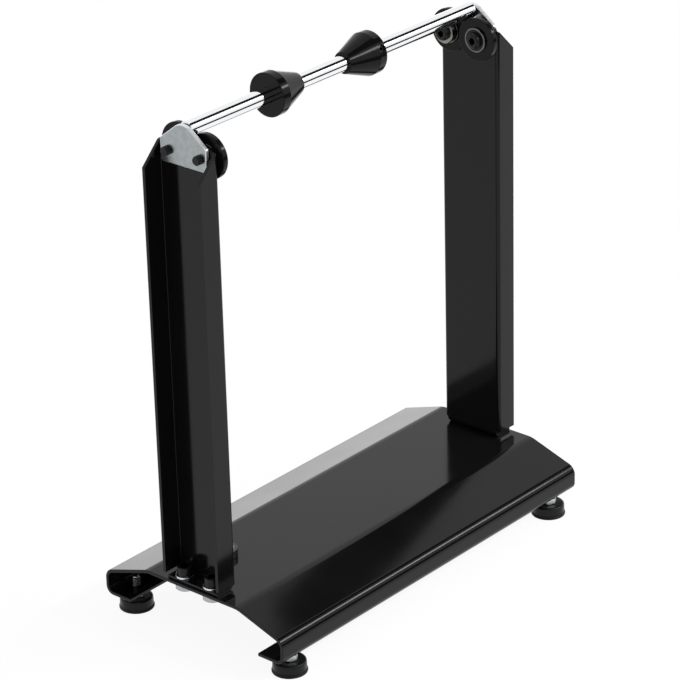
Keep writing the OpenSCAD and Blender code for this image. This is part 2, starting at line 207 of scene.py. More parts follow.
class Shape:
    """A mesh in the making, held as a bmesh."""

    THREAD_STEPS = 36

    # Depth of a thread in pitches, and its tooth: share of the depth inwards, and rise in pitches
    THREAD_DEPTH = 0.55
    THREAD_TOOTH = ((1, 0), (0, 0.42), (0, 0.52), (1, 0.94), (1, 1))
    TURNED_STEPS = 4

    def __init__(self) -> None:
        """Start with an empty mesh."""
        self.bm = bmesh.new()

    @classmethod
    def line(cls, points: Sequence[Vector], bends: dict[int, float], segments: int = 8,
             closed: bool = False) -> "Shape":
        """Draw a line of straight stretches with round corners.

        Args:
            points: Corners of the line, as they would be without rounding.
            bends: Radius at each rounded corner, by its number.
            segments: Steps of each rounding.
            closed: Whether the last point joins the first.

        Returns:
            A shape that holds the line's vertices and edges.
        """
        shape = cls()
        verts = [shape.bm.verts.new(p) for p in points]
        ends = verts[1:] + (verts[:1] if closed else [])
        for a, b in zip(verts, ends):
            shape.bm.edges.new((a, b))
        count = len(points)
        for number, radius in bends.items():
            before = points[number] - points[number - 1]
            after = points[(number + 1) % count] - points[number]
            bmesh.ops.bevel(
                shape.bm, geom=[verts[number]], offset=radius * math.tan(before.angle(after) / 2),
                offset_type="OFFSET", segments=segments, profile=0.5, affect="VERTICES", material=-1)
        return shape

    @classmethod
    def turned(cls, points: Sequence[tuple[float, float]], rounds: dict[int, float] | None = None,
               closed: bool = False, segments: int = SEGMENTS) -> "Shape":
        """Turn a profile about Z, as on a lathe.

        Args:
            points: Radius and height of each corner of the profile.
            rounds: Radius of each rounded corner, by its number.
            closed: Whether the profile is a closed loop, as a ring's is.
            segments: Steps of the full turn.

        Returns:
            The closed turned shape.
        """
        profile = [Vector((r, 0, z)) for r, z in points]
        shape = cls.line(profile, rounds or {}, cls.TURNED_STEPS, closed)
        bmesh.ops.spin(
            shape.bm, geom=shape.bm.verts[:] + shape.bm.edges[:], cent=(0, 0, 0), axis=(0, 0, 1),
            dvec=(0, 0, 0), angle=2 * math.pi, steps=segments, use_merge=True)
        return shape.weld()

    @classmethod
    def lofted(cls, rings: Sequence[Ring], count: int = FEW_SEGMENTS, closed: bool = False) -> "Shape":
        """Bridge a row of rings.

        Args:
            rings: The rings, from one end of the piece's skin to the other.
            count: Points in each ring, a multiple of 12.
            closed: Whether the last ring joins the first, as in a nut. Otherwise both are capped.

        Returns:
            The closed lofted shape.
        """
        shape = cls()
        loops = []
        for ring in rings:
            made = bmesh.ops.create_circle(shape.bm, cap_ends=False, radius=1, segments=count)
            verts = made["verts"]
            for index, vert in enumerate(verts):
                vert.co = ring.point(index, count)
            loops.append(list({edge for vert in verts for edge in vert.link_edges}))
        for low, high in zip(loops, loops[1:] + (loops[:1] if closed else [])):
            bmesh.ops.bridge_loops(shape.bm, edges=low + high)
        for loop in () if closed else (loops[0], loops[-1]):
            bmesh.ops.contextual_create(shape.bm, geom=loop)
        return shape.weld()

    @classmethod
    def thread(cls, radius: float, pitch: float, low: float, high: float, tip: float) -> "Shape":
        """Wind a screw thread up the Z axis.

        Args:
            radius: Outer radius of the thread.
            pitch: Rise of one turn.
            low: Height of the thread's flat lower end.
            high: Height of its chamfered upper end.
            tip: Depth of the chamfer.

        Returns:
            The closed threaded rod.
        """
        depth = cls.THREAD_DEPTH * pitch
        tooth = [(radius - inwards * depth, rise * pitch) for inwards, rise in cls.THREAD_TOOTH]
        shape = cls.line([Vector((r, 0, low - pitch + z)) for r, z in tooth], {})
        turns = math.ceil((high - low) / pitch) + 1
        bmesh.ops.spin(
            shape.bm, geom=shape.bm.verts[:] + shape.bm.edges[:], cent=(0, 0, 0), axis=(0, 0, 1),
            dvec=(0, 0, pitch / cls.THREAD_STEPS), angle=2 * math.pi * turns,
            steps=cls.THREAD_STEPS * turns, use_merge=False)
        bmesh.ops.remove_doubles(shape.bm, verts=shape.bm.verts, dist=WELD)
        for height, up in ((low, -1), (high, 1)):
            cut = bmesh.ops.bisect_plane(
                shape.bm, geom=shape.bm.verts[:] + shape.bm.edges[:] + shape.bm.faces[:], dist=WELD / 10,
                plane_co=(0, 0, height), plane_no=(0, 0, up), clear_outer=True, clear_inner=False)
            bmesh.ops.contextual_create(shape.bm, geom=only(bmesh.types.BMEdge, cut["geom_cut"]))
        for vert in shape.bm.verts:
            limit = radius - depth + max(0.0, high - vert.co.z) * depth / tip
            reach = vert.co.xy.length
            if reach > limit:
                vert.co.xy *= limit / reach
        return shape.weld()

    def weld(self) -> "Shape":
        """Merge doubled vertices and point every face outwards.

        Returns:
            This shape.
        """
        bmesh.ops.remove_doubles(self.bm, verts=self.bm.verts, dist=WELD)
        bmesh.ops.dissolve_degenerate(self.bm, edges=self.bm.edges, dist=WELD / 10)
        bmesh.ops.recalc_face_normals(self.bm, faces=self.bm.faces)
        return self

    def extruded(self, way: Vector) -> "Shape":
        """Pull every loose edge, or every face, along a vector.

        Args:
            way: The vector.

        Returns:
            This shape.
        """
        loose = [e for e in self.bm.edges if not e.link_faces]
        if loose:
            made = bmesh.ops.extrude_edge_only(self.bm, edges=loose)["geom"]
        else:
            made = bmesh.ops.extrude_face_region(self.bm, geom=self.bm.faces[:])["geom"]
        bmesh.ops.translate(self.bm, verts=only(bmesh.types.BMVert, made), vec=way)
        return self.weld()

    def filled(self) -> "Shape":
        """Close a flat outline with one face."""
        bmesh.ops.contextual_create(self.bm, geom=self.bm.edges)
        return self

    def placed(self, matrix: Matrix) -> "Shape":
        """Move or turn the whole shape."""
        bmesh.ops.transform(self.bm, matrix=matrix, verts=self.bm.verts)
        return self

    def joined(self, *others: "Shape") -> "Shape":
        """Take in other shapes, which stay separate shells.

        Args:
            *others: The other shapes. They can't be used afterwards.

        Returns:
            This shape.
        """
        for other in others:
            spare = meshed(other, "spare")
            self.bm.from_mesh(spare)
            bpy.data.meshes.remove(spare)
        return self

    def made_with(self, kind: str, cutter: "Shape | None" = None, **settings: object) -> "Shape":
        """Apply one modifier to the shape.

        Args:
            kind: Blender's name of the modifier.
            cutter: Shape that a Boolean takes away.
            **settings: Values of the modifier.

        Returns:
            This shape, with the modifier's result.
        """
        work = [_worked(self)]
        modifier = work[0].modifiers.new("work", kind)
        if cutter:
            work.append(_worked(cutter))
            modifier.object = work[1]
        for name, value in settings.items():
            setattr(modifier, name, value)
        finished = work[0].evaluated_get(bpy.context.evaluated_depsgraph_get())
        result = bpy.data.meshes.new_from_object(finished)
        self.bm = bmesh.new()
        self.bm.from_mesh(result)
        bpy.data.meshes.remove(result)
        for obj in work:
            bpy.data.meshes.remove(obj.data)
        return self.weld()

    def thickened(self, thickness: float) -> "Shape":
        """Give a sheet its thickness, half on each side."""
        return self.made_with("SOLIDIFY", thickness=thickness, offset=0, use_even_offset=True)

    def carved(self, *cutters: "Shape") -> "Shape":
        """Take other shapes away from this one."""
        tool = cutters[0].joined(*cutters[1:])
        return self.made_with("BOOLEAN", tool, operation="DIFFERENCE", solver="EXACT")


def set_down(name: str, data: bpy.types.ID) -> bpy.types.Object:
    """Make an object of a mesh, a lamp or a camera, and put it in the scene.

    Args:
        name: Name of the object.
        data: What it shows.

    Returns:
        The new object.
    """
    obj = bpy.data.objects.new(name, data)
    bpy.context.scene.collection.objects.link(obj)
    return obj


def meshed(shape: Shape, name: str) -> bpy.types.Mesh:
    """Make a mesh of a shape, and free the shape.

    Args:
        shape: The shape. It can't be used afterwards.
        name: Name of the mesh.

    Returns:
        The new mesh.
    """
    mesh = bpy.data.meshes.new(name)
    shape.bm.to_mesh(mesh)
    shape.bm.free()
    return mesh


def _worked(shape: Shape) -> bpy.types.Object:
    """Turn a shape into an object that a modifier can work on."""
    return set_down("work", meshed(shape, "work"))


class Wiring:
    """Adds nodes to a node tree and joins them."""

    def __init__(self, tree: bpy.types.NodeTree) -> None:
        """Take over an empty tree."""
        self.tree = tree
        tree.nodes.clear()

    def add(self, kind: str, values: dict[str | int, object] | None = None,
            **settings: object) -> bpy.types.Node:
        """Add one node.

        Args:
            kind: Node type, without the word that all shader nodes start with.
            values: Number, colour or output socket for each named or numbered input.
            **settings: Options of the node.

        Returns:
            The new node.
        """
        node = self.tree.nodes.new(kind if kind.startswith("Node") else "ShaderNode" + kind)
        for name, value in settings.items():
            setattr(node, name, value)
        for name, value in (values or {}).items():
            if isinstance(value, bpy.types.NodeSocket):
                self.tree.links.new(value, node.inputs[name])
            else:
                node.inputs[name].default_value = value
        return node

    def math(self, operation: str, *terms: object) -> bpy.types.NodeSocket:
        """Add a sum, product or the like and return its result."""
        return self.add("Math", dict(enumerate(terms)), operation=operation).outputs[0]


def new_material(name: str) -> tuple[bpy.types.Material, Wiring]:
    """Open a new material.

    Args:
        name: Name of the material.

    Returns:
        The material and its wiring.
    """
    material = bpy.data.materials.new(name)
    material.use_nodes = True
    return material, Wiring(material.node_tree)


class Effect(Enum):
    """Shading effects that several finishes share, each a node group."""

    BLOTCHES = "soft_blotches"
    GRAIN = "fine_grain"

    def group(self) -> bpy.types.NodeTree:
        """Return the effect's node group, made on first use."""
        make = _blotches if self is Effect.BLOTCHES else _grain
        return bpy.data.node_groups.get(self.value) or make(self.value)


def _new_group(name: str, inputs: dict[str, float],
               output: str) -> tuple[Wiring, bpy.types.Node, bpy.types.Node]:
    """Open a shader node group with a vector input, number inputs and one number output.

    Args:
        name: Name of the group.
        inputs: Default of each number input.
        output: Name of the output.

    Returns:
        The group's wiring, its input node and its output node.
    """
    tree = bpy.data.node_groups.new(name, "ShaderNodeTree")
    tree.interface.new_socket("Vector", in_out="INPUT", socket_type="NodeSocketVector")
    for label, default in inputs.items():
        socket = tree.interface.new_socket(label, in_out="INPUT", socket_type="NodeSocketFloat")
        socket.default_value = default
    tree.interface.new_socket(output, in_out="OUTPUT", socket_type="NodeSocketFloat")
    wiring = Wiring(tree)
    return wiring, wiring.add("NodeGroupInput"), wiring.add("NodeGroupOutput")


def _blotches(name: str) -> bpy.types.NodeTree:
    """Build soft blotches, which vary colour and roughness.

    Args:
        name: Name of the group.

    Returns:
        A group that gives a mask from 0 to 1.
    """
    wiring, source, sink = _new_group(name, {"Scale": 40.0, "Contrast": 0.3}, "Mask")
    noise = wiring.add("TexNoise", {"Vector": source.outputs["Vector"], "Scale": source.outputs["Scale"],
                                    "Detail": 5.0, "Roughness": 0.6})
    middle = 0.5
    low = wiring.math("SUBTRACT", middle, source.outputs["Contrast"])
    high = wiring.math("ADD", middle, source.outputs["Contrast"])
    mask = wiring.add("MapRange", {"Value": noise.outputs[0], "From Min": low, "From Max": high},
                      interpolation_type="SMOOTHSTEP")
    wiring.tree.links.new(mask.outputs[0], sink.inputs["Mask"])
    return wiring.tree


def _grain(name: str) -> bpy.types.NodeTree:
    """Build fine grain, which raises a surface by a hair.

    Args:
        name: Name of the group.

    Returns:
        A group that gives a height from 0 to 1.
    """
    wiring, source, sink = _new_group(name, {"Scale": 900.0, "Coarse": 0.3}, "Height")
    broad_scale = 0.12
    fine = wiring.add("TexNoise", {"Vector": source.outputs["Vector"], "Scale": source.outputs["Scale"],
                                   "Detail": 2.0})
    broad = wiring.add("TexNoise", {"Vector": source.outputs["Vector"], "Detail": 1.0,
                                    "Scale": wiring.math("MULTIPLY", source.outputs["Scale"], broad_scale)})
    height = wiring.math("MULTIPLY_ADD", broad.outputs[0], source.outputs["Coarse"], fine.outputs[0])
    wiring.tree.links.new(height, sink.inputs["Height"])
    return wiring.tree


@dataclass(frozen=True)
class Finish:
    """A surface finish and the material that shows it.

    Attributes:
        slot: The record's material slot.
        look: Word that tells apart the finishes of one slot.
        colour: Colour of most of the surface.
        second: Colour of its blotches.
        roughness: Least and greatest roughness.
        metallic: 1 for bare metal, 0 for paint and plastic.
        ior: Index of refraction of the skin.
        transmission: Share of the light that passes through.
        blotch_scale: Blotches in a metre.
        contrast: Softness of the blotches, less for harder ones.
        grain_scale: Grains in a metre.
        coarse: Share of the broad waves in the grain.
        grain: Depth of the grain.
        stretch: Stretch of the blotches along each axis.
    """

    slot: str
    colour: tuple[float, float, float]
    second: tuple[float, float, float]
    roughness: tuple[float, float]
    metallic: float = 0.0
    ior: float = 1.45
    transmission: float = 0.0
    blotch_scale: float = 40.0
    contrast: float = 0.3
    grain_scale: float = 900.0
    coarse: float = 0.3
    grain: float = 0.01 * MM
    stretch: tuple[float, float, float] = (1.0, 1.0, 1.0)
    look: str = "finish"

    @property
    def title(self) -> str:
        """Name of the material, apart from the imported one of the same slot."""
        return f"{self.slot}_{self.look}"

    def material(self) -> bpy.types.Material:
        """Return the finish's material, made on first use."""
        return bpy.data.materials.get(self.title) or self._build()

    def _build(self) -> bpy.types.Material:
        """Wire the material.

        Returns:
            A new procedural material on object coordinates.
        """
        material, wiring = new_material(self.title)
        place = wiring.add("TexCoord").outputs["Object"]
        stretched = wiring.add("Mapping", {"Vector": place, "Scale": self.stretch}).outputs[0]
        blotches = wiring.add("Group", node_tree=Effect.BLOTCHES.group())
        grain = wiring.add("Group", node_tree=Effect.GRAIN.group())
        for node, vector, values in (
                (blotches, stretched, {"Scale": self.blotch_scale, "Contrast": self.contrast}),
                (grain, place, {"Scale": self.grain_scale, "Coarse": self.coarse})):
            wiring.tree.links.new(vector, node.inputs["Vector"])
            for name, value in values.items():
                node.inputs[name].default_value = value
        mask = blotches.outputs["Mask"]
        colour = wiring.add("Mix", {
            0: mask, MIX_FIRST: (*self.colour, 1.0), MIX_SECOND: (*self.second, 1.0)}, data_type="RGBA")
        rough = wiring.add("MapRange", {
            "Value": mask, "To Min": self.roughness[0], "To Max": self.roughness[1]})
        bump = wiring.add("Bump", {
            "Height": grain.outputs["Height"], "Strength": 1.0, "Distance": self.grain})
        skin = wiring.add("BsdfPrincipled", {
            "Base Color": colour.outputs[MIX_RESULT], "Roughness": rough.outputs[0],
            "Normal": bump.outputs[0], "Metallic": self.metallic, "IOR": self.ior,
            "Transmission Weight": self.transmission})
        wiring.add("OutputMaterial", {"Surface": skin.outputs[0]})
        return material


PAINT = Finish("black_paint", (0.0045, 0.0045, 0.005), (0.006, 0.006, 0.0065), (0.1, 0.15), ior=1.305,
               blotch_scale=14.0, grain_scale=420.0, coarse=0.6, grain=0.0012 * MM)
PLATE_ZINC = Finish("zinc_plate", (0.32, 0.35, 0.355), (0.4, 0.43, 0.435), (0.24, 0.32), metallic=1.0,
                    blotch_scale=200.0, contrast=0.22, grain_scale=1500.0, grain=0.022 * MM)
# Brighter, rougher zinc for the plates' rounded arrises: a painted highlight along the rim
PLATE_RIM_HIGHLIGHT = Finish("zinc_plate", (0.74, 0.76, 0.77), (0.84, 0.86, 0.87), (0.42, 0.5), metallic=1.0,
                   blotch_scale=300.0, grain_scale=1500.0, grain=0.015 * MM, look="rim")
HARDWARE_ZINC = Finish("zinc_hardware", (0.7, 0.72, 0.75), (0.78, 0.79, 0.81), (0.2, 0.32), metallic=1.0,
                       blotch_scale=300.0, grain_scale=2500.0, grain=0.008 * MM)
# Darker zinc for the nuts under the base: painted shade
NUT_ZINC_PAINTED_SHADE = replace(HARDWARE_ZINC, colour=(0.36, 0.37, 0.39), second=(0.46, 0.47, 0.49), look="painted_shade")
# Darker, warmer zinc for the spacers between roller and upright: painted shade of that narrow gap
SPACER_ZINC_PAINTED_SHADE = replace(HARDWARE_ZINC, colour=(0.2, 0.19, 0.17), second=(0.3, 0.285, 0.26),
                      roughness=(0.22, 0.34), look="warm_painted_shade")
# Brighter, rougher zinc for the feet's hexagons: painted light that lifts them out of the shade under the
# base
HEXAGON_ZINC_PAINTED_LIGHT = replace(HARDWARE_ZINC, colour=(0.88, 0.91, 0.93), second=(0.94, 0.96, 0.97),
                       roughness=(0.44, 0.56), look="bright")
THREAD_ZINC = replace(HARDWARE_ZINC, colour=(0.26, 0.26, 0.265), second=(0.34, 0.34, 0.345),
                      roughness=(0.2, 0.28), look="thread")
BLACK_OXIDE = Finish("black_oxide", (0.006, 0.006, 0.007), (0.01, 0.01, 0.011), (0.25, 0.36), ior=1.32,
                     blotch_scale=300.0, grain_scale=2200.0, grain=0.012 * MM)
CHROME = Finish("polished_chrome", (0.86, 0.87, 0.885), (0.9, 0.905, 0.915), (0.035, 0.06), metallic=1.0,
                blotch_scale=60.0, grain_scale=2500.0, grain=0.0008 * MM, stretch=(0.2, 1.0, 1.0))
CONE_BLACK = Finish("cone_black", (0.005, 0.005, 0.0055), (0.007, 0.007, 0.008), (0.11, 0.16), ior=1.25,
                    blotch_scale=120.0, grain_scale=1500.0, grain=0.006 * MM)
ROLLER_BLACK = Finish("roller_black", (0.005, 0.005, 0.006), (0.008, 0.008, 0.009), (0.12, 0.17), ior=1.24,
                      blotch_scale=120.0, grain_scale=1400.0, grain=0.006 * MM)
# Far darker than bare steel: painted shade and dark reflection on the bearings' races inside the rollers
BEARING_STEEL_PAINTED_SHADE = Finish("bearing_steel", (0.1, 0.1, 0.105), (0.15, 0.15, 0.155), (0.16, 0.26), metallic=1.0,
                       blotch_scale=300.0, grain_scale=2500.0, grain=0.004 * MM)
BALL_STEEL = Finish("ball_steel", (0.76, 0.77, 0.79), (0.82, 0.83, 0.84), (0.04, 0.08), metallic=1.0,
                    blotch_scale=400.0, grain=0.001 * MM)
CAGE_STEEL = Finish("cage_steel", (0.42, 0.42, 0.43), (0.52, 0.52, 0.53), (0.3, 0.4), metallic=1.0,
                    blotch_scale=400.0, grain=0.006 * MM)
FOOT_BLACK = Finish("foot_black", (0.008, 0.008, 0.009), (0.012, 0.012, 0.013), (0.24, 0.34), ior=1.28,
                    blotch_scale=160.0, grain_scale=1500.0, grain=0.014 * MM)
LEVEL_BLACK = Finish("level_black", (0.01, 0.01, 0.011), (0.014, 0.014, 0.015), (0.22, 0.32), ior=1.45,
                     blotch_scale=200.0, grain_scale=1800.0, grain=0.01 * MM)
BEARING_SEAL = Finish("bearing_seal", (0.008, 0.008, 0.009), (0.012, 0.012, 0.013), (0.3, 0.4), ior=1.3,
                      blotch_scale=300.0, grain=0.006 * MM)
LEVEL_VIAL = Finish("level_vial", (0.74, 0.8, 0.6), (0.78, 0.84, 0.64), (0.02, 0.05), ior=1.46,
                    transmission=0.8, blotch_scale=100.0, grain=0.001 * MM)
LEVEL_BUBBLE = Finish("level_vial", (0.9, 0.93, 0.8), (0.93, 0.95, 0.84), (0.02, 0.05), ior=1.3,
                      blotch_scale=100.0, grain=0.001 * MM, look="bubble")

# The finish of each material slot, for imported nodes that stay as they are
FINISHES = {finish.slot: finish for finish in (
    PAINT, PLATE_ZINC, HARDWARE_ZINC, BLACK_OXIDE, CHROME, CONE_BLACK, ROLLER_BLACK, BEARING_STEEL_PAINTED_SHADE,
    BALL_STEEL, CAGE_STEEL, BEARING_SEAL, FOOT_BLACK, LEVEL_BLACK, LEVEL_VIAL)}


def show(shape: Shape, name: str, body: str, finish: Finish, *nodes: str,
         crease: float = CREASE) -> bpy.types.Object:
    """Put a finished shape in the scene as a piece of the stand.

    Args:
        shape: The shape, in place. It can't be used afterwards.
        name: Name of the piece.
        body: Body that the piece moves with.
        finish: Its finish.
        *nodes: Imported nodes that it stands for.
        crease: Angle in degrees past which an edge stays crisp.

    Returns:
        The new object.
    """
    mesh = meshed(shape, name)
    mesh.shade_smooth()
    mesh.set_sharp_from_angle(angle=math.radians(crease))
    mesh.materials.append(finish.material())
    obj = set_down(name, mesh)
    flats = obj.modifiers.new("flats", "WEIGHTED_NORMAL")
    flats.keep_sharp = True
    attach(obj, body)
    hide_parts(*nodes)
    LOG.info("%s: %d faces on %s", name, len(mesh.polygons), body)
    return obj


def refinish(obj: bpy.types.Object, finish: Finish,
             chosen: Callable[[bpy.types.MeshPolygon], bool]) -> None:
    """Give some of a piece's faces a second finish.

    Args:
        obj: The piece.
        finish: The second finish, of the same slot as the first.
        chosen: Whether a face takes it.
    """
    obj.data.materials.append(finish.material())
    for face in obj.data.polygons:
        face.material_index = int(chosen(face))


def bevelled(shape: Shape, width: float, segments: int = 2, least: float = 40.0) -> Shape:
    """Round a shape's sharp edges.

    Args:
        shape: The shape.
        width: Width of the rounding.
        segments: Steps across it.
        least: Angle in degrees past which an edge is rounded.

    Returns:
        The same shape.
    """
    sharp = [e for e in shape.bm.edges
             if len(e.link_faces) == 2 and e.calc_face_angle() > math.radians(least)]
    bmesh.ops.bevel(
        shape.bm, geom=sharp, offset=width, offset_type="OFFSET", segments=segments, profile=0.5,
        affect="EDGES", clamp_overlap=True, material=-1)
    return shape.weld()


def bore(radius: float, length: float) -> Shape:
    """Make a plain cutter for a hole, centred on the origin along Z."""
    return Shape.lofted([Ring(radius, -length / 2), Ring(radius, length / 2)])


def rod(ring_radii: Sequence[tuple[float, float]]) -> Shape:
    """Loft round rings, given as radius and height, from one end to the other."""
    return Shape.lofted([Ring(radius, height) for radius, height in ring_radii])


@dataclass(frozen=True)
class Thread:
    """The metric thread that the screws and the feet share."""

    radius: float = 4 * MM
    pitch: float = 1.25 * MM
    tip: float = 0.8 * MM
    clearance: float = 0.05 * MM

    def wound(self, low: float, high: float) -> Shape:
        """Wind the thread between two heights on the Z axis."""
        return Shape.thread(self.radius, self.pitch, low, high, self.tip)

    @property
    def hole(self) -> float:
        """Radius of a hole that the thread passes or is screwed into."""
        return self.radius + self.clearance


@dataclass(frozen=True)
class TabFasteners:
    """Socket screws, washers and nuts that hold the uprights' foot tabs on the base."""

    thread: Thread
    head_radius: float = 6.5 * MM
    head_height: float = 8 * MM
    key: float = 6 * MM
    key_depth: float = 4 * MM
    seat_chamfer: float = 0.3 * MM
    knurl_stop: float = 0.9 * MM
    shoulder_inset: float = 0.25 * MM
    shoulder_drop: float = 0.35 * MM
    crown_inset: float = 0.8 * MM
    mouth: float = 0.6 * MM
    mouth_depth: float = 0.3 * MM
    thread_turns: int = 3
    hole: float = 4.4 * MM
    round_edge: float = 0.3 * MM
    washer_segments: int = 64
    nut_face: float = 5.9 * MM
    nut_slope: float = math.tan(math.radians(30))

    def places(self) -> list[Vector]:
        """Work out where the screws are.

        Returns:
            The point on each screw's axis at the top of its washer.
        """
        high = Extent.of("upright_screws").high
        top = Extent.of("upright_washers").high.z
        x, y = high.x - self.head_radius, high.y - self.head_radius
        return [Vector((sx * x, sy * y, top)) for sx in (1, -1) for sy in (1, -1)]

    def screw(self) -> Shape:
        """Build a screw with its head's seat at the origin.

        Returns:
            The screw, with its thread down.
        """
        r, h, key = self.head_radius, self.head_height, self.key / 2
        head = Shape.lofted([
            Ring(r - self.seat_chamfer, 0),
            Ring(r, self.seat_chamfer, Form.KNURL),
            Ring(r, h - self.knurl_stop, Form.KNURL),
            Ring(r - self.shoulder_inset, h - self.shoulder_drop),
            Ring(r - self.crown_inset, h),
            Ring(key + self.mouth, h),
            Ring(key, h - self.mouth_depth, Form.HEXAGON),
            Ring(key, h - self.key_depth, Form.HEXAGON)], SEGMENTS)
        reach = -Extent.of("upright_screws").low.z + self.places()[0].z
        plain = reach - self.thread_turns * self.thread.pitch
        shank = rod([(self.thread.radius, 0), (self.thread.radius, plain)])
        down = Matrix.Rotation(math.pi, 4, "X")
        return head.joined(shank.placed(down), self.thread.wound(plain, reach).placed(down))

    def washer(self, low: float) -> Shape:
        """Build a washer whose top is at the origin.

        Args:
            low: Height of its underside.

        Returns:
            The washer.
        """
        r = Extent.of("upright_washers").high.x - self.places()[0].x
        corners = [(self.hole, low), (r, low), (r, 0), (self.hole, 0)]
        rounds = {1: self.round_edge, 2: self.round_edge}
        return Shape.turned(corners, rounds, closed=True, segments=self.washer_segments)

    def nut(self, low: float, high: float) -> Shape:
        """Build a nut with both rims chamfered.

        Args:
            low: Height of its underside.
            high: Height of its top.

        Returns:
            The nut on the Z axis.
        """
        flats = (Extent.of("upright_nuts").size.y - 2 * self.places()[0].y) / 2
        rim = (flats - self.nut_face) * self.nut_slope
        return Shape.lofted([
            Ring(self.thread.hole, low), Ring(self.nut_face, low),
            Ring(flats, low + rim, Form.HEXAGON, self.nut_slope),
            Ring(flats, high - rim, Form.HEXAGON, -self.nut_slope),
            Ring(self.nut_face, high), Ring(self.thread.hole, high)], closed=True)

    def build(self) -> None:
        """Build and dress the three groups of four."""
        places = self.places()
        top = places[0].z
        under = Extent.of("upright_washers").low.z - top
        nuts = Extent.of("upright_nuts")
        for name, finish, make in (
                ("screws", BLACK_OXIDE, self.screw),
                ("washers", HARDWARE_ZINC, lambda: self.washer(under)),
                # The nuts take the darker zinc: painted shade under the base
                ("nuts", NUT_ZINC_PAINTED_SHADE, lambda: self.nut(nuts.low.z - top, nuts.high.z - top))):
            first, *rest = [make().placed(Matrix.Translation(place)) for place in places]
            show(first.joined(*rest), f"tab_{name}", "frame", finish, f"upright_{name}",
                 crease=FASTENER_CREASE)


@dataclass(frozen=True)
class Base:
    """The folded base sheet with its return flanges."""

    tabs: TabFasteners
    thread: Thread
    sheet: float = 3 * MM
    plateau_width: float = 103.6 * MM
    side_height: float = 22.5 * MM
    flange_width: float = 28 * MM
    flange_bend: float = 6 * MM
    shoulder_bend: float = 8 * MM
    ridge_bend: float = 20 * MM
    edge: float = 0.5 * MM
    bend_steps: int = 12
    hole_length: float = 10 * MM

    def section(self) -> list[Vector]:
        """Lay out the sheet's section.

        Returns:
            The corners of the sheet's middle line, from the right flange to the left one.
        """
        box = Extent.of("base_plate")
        half = self.sheet / 2
        side_top = box.low.z + self.side_height
        slope = math.atan2(box.high.z - side_top, box.high.y - self.plateau_width / 2)
        side_corner = side_top + math.tan(slope) * half - half / math.cos(slope)
        top_corner = self.plateau_width / 2 - math.tan(slope / 2) * half
        right = [
            (box.high.y - self.flange_width, box.low.z + half),
            (box.high.y - half, box.low.z + half),
            (box.high.y - half, side_corner),
            (top_corner, box.high.z - half)]
        both = [(-y, z) for y, z in right] + right[::-1]
        return [Vector((box.low.x, y, z)) for y, z in both]

    def holes(self) -> Iterator[Shape]:
        """Make the cutters for the holes.

        Yields:
            A cutter for each screw and stud that passes the sheet.
        """
        sheet = Extent.of("base_plate")
        for place in self.tabs.places():
            place.z = sheet.high.z
            yield bore(self.tabs.hole, self.hole_length).placed(Matrix.Translation(place))
        for end in End:
            for side in Side:
                stud = Extent.of(f"{end.word}_{side.word}_foot_stud").centre
                stud.z = sheet.low.z
                yield bore(self.thread.hole, self.hole_length).placed(Matrix.Translation(stud))

    def build(self) -> None:
        """Build and dress the base."""
        corners = self.section()
        bends = {1: self.flange_bend, 2: self.shoulder_bend, 3: self.ridge_bend}
        bends |= {len(corners) - 1 - number: radius for number, radius in bends.items()}
        along = Vector((Extent.of("base_plate").size.x, 0, 0))
        sheet = Shape.line(corners, bends, self.bend_steps).extruded(along)
        sheet = bevelled(sheet.thickened(self.sheet), self.edge)
        show(sheet.carved(*self.holes()), "base_sheet", "frame", PAINT, "base_plate")


